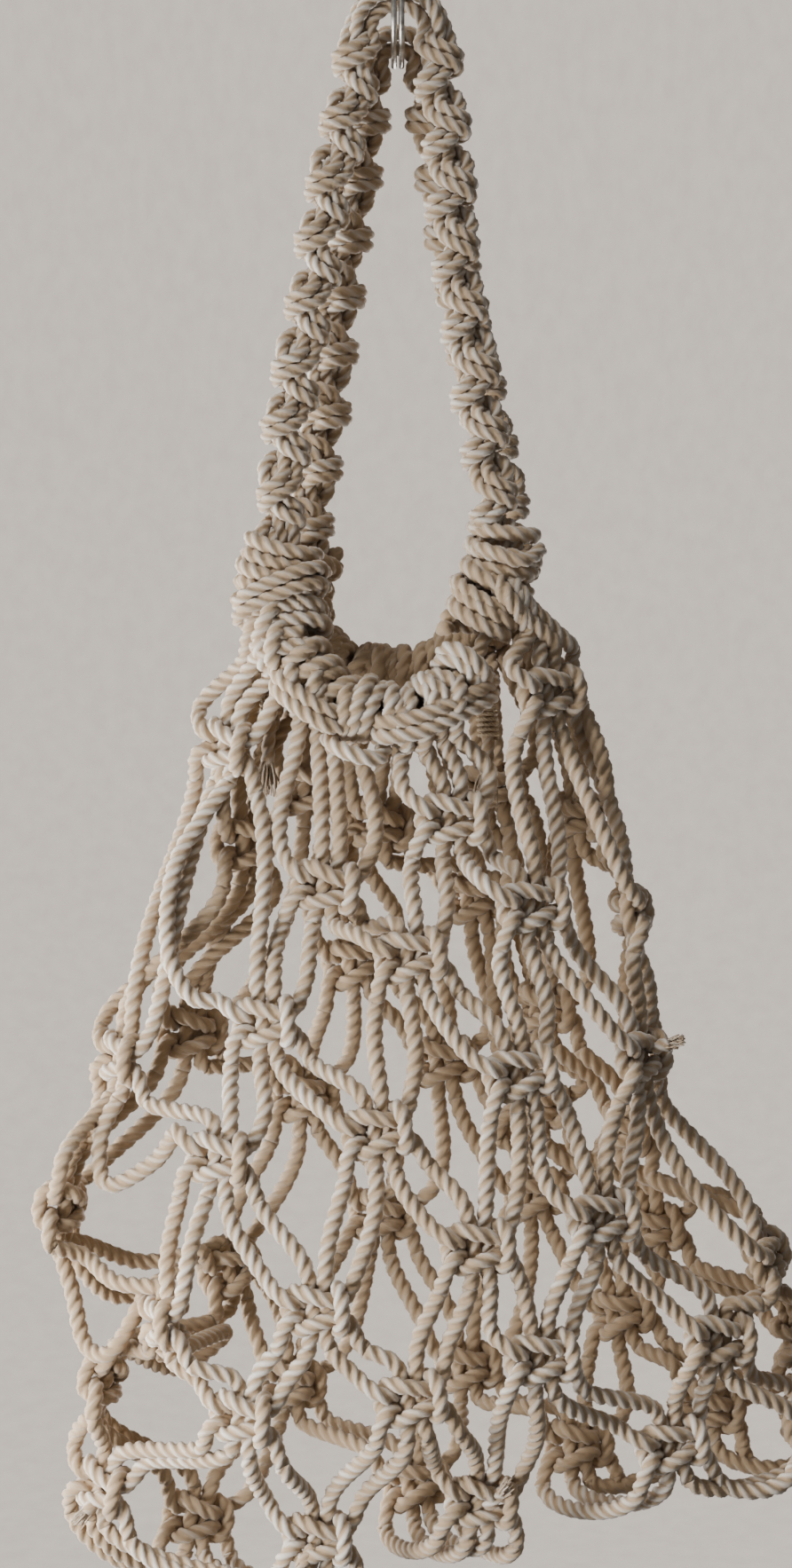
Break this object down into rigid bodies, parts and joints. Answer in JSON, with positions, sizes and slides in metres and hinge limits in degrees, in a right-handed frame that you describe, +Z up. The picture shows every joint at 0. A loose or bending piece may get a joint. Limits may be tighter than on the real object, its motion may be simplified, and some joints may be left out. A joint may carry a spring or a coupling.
{
  "type": "macrame net bag",
  "caption": "Knotted net bag of cotton rope with a gathered mouth and two knotted handles that hang from a pair of steel rings.",
  "frame": {"origin": "inside top of the two steel rings, the point that a hook carries", "axes": "+Z up, -Y to the front of the bag, +X to the right seen from the front"},
  "size_m": [0.2954, 0.1139, 0.609],
  "materials": {
    "cotton_rope": "natural undyed three-strand cotton, matt and slightly hairy",
    "binding_thread": "thin waxed tan thread",
    "ring_steel": "worn steel wire"
  },
  "bodies": {
    "hang_rings": {"hang_ring_left": "ring_steel", "hang_ring_right": "ring_steel"},
    "front_handle": {"front_crown": "cotton_rope", "front_left_sinnet": "cotton_rope", "front_right_sinnet": "cotton_rope"},
    "front_wall": {"front_base_ties": "cotton_rope", "front_knots_row_1": "cotton_rope", "front_knots_row_2": "cotton_rope", "front_knots_row_3": "cotton_rope", "front_knots_row_4": "cotton_rope", "front_knots_row_5": "cotton_rope", "front_knots_row_6": "cotton_rope", "front_left_joint_wraps": "cotton_rope", "front_legs_row_1": "cotton_rope", "front_legs_row_2": "cotton_rope", "front_legs_row_3": "cotton_rope", "front_legs_row_4": "cotton_rope", "front_legs_row_5": "cotton_rope", "front_legs_row_6": "cotton_rope", "front_right_joint_wraps": "cotton_rope", "front_rim_hitches": "cotton_rope", "left_frayed_tail": "cotton_rope", "left_thread_whipping": "binding_thread", "right_frayed_tail": "cotton_rope", "right_thread_whipping": "binding_thread"},
    "rear_wall": {"rear_base_ties": "cotton_rope", "rear_knots_row_1": "cotton_rope", "rear_knots_row_2": "cotton_rope", "rear_knots_row_3": "cotton_rope", "rear_knots_row_4": "cotton_rope", "rear_knots_row_5": "cotton_rope", "rear_knots_row_6": "cotton_rope", "rear_left_joint_wraps": "cotton_rope", "rear_legs_row_1": "cotton_rope", "rear_legs_row_2": "cotton_rope", "rear_legs_row_3": "cotton_rope", "rear_legs_row_4": "cotton_rope", "rear_legs_row_5": "cotton_rope", "rear_legs_row_6": "cotton_rope", "rear_right_joint_wraps": "cotton_rope", "rear_rim_hitches": "cotton_rope"},
    "rear_handle": {"rear_crown": "cotton_rope", "rear_left_sinnet": "cotton_rope", "rear_right_sinnet": "cotton_rope"}
  },
  "joints": [
    {"name": "bag_swing", "type": "hinge", "parent": "hang_rings", "child": "front_handle", "pos_m": [0, 0, -0.019], "axis": [1, 0, 0], "range_deg": [-35, 35]},
    {"name": "mouth_open", "type": "hinge", "parent": "front_handle", "child": "front_wall", "pos_m": [0, -0.014, -0.217], "axis": [1, 0, 0], "range_deg": [0, 21]},
    {"name": "base_fold", "type": "hinge", "parent": "front_wall", "child": "rear_wall", "pos_m": [0, 0, -0.606], "axis": [1, 0, 0], "range_deg": [-14.1, 0]},
    {"name": "rear_root_fold", "type": "hinge", "parent": "rear_wall", "child": "rear_handle", "pos_m": [0, 0.014, -0.217], "axis": [1, 0, 0], "range_deg": [0, 21.1]}
  ],
  "couplings": [
    {"joint": "base_fold", "follows": "mouth_open", "ratio": -0.6684},
    {"joint": "rear_root_fold", "follows": "mouth_open", "ratio": 1}
  ]
}
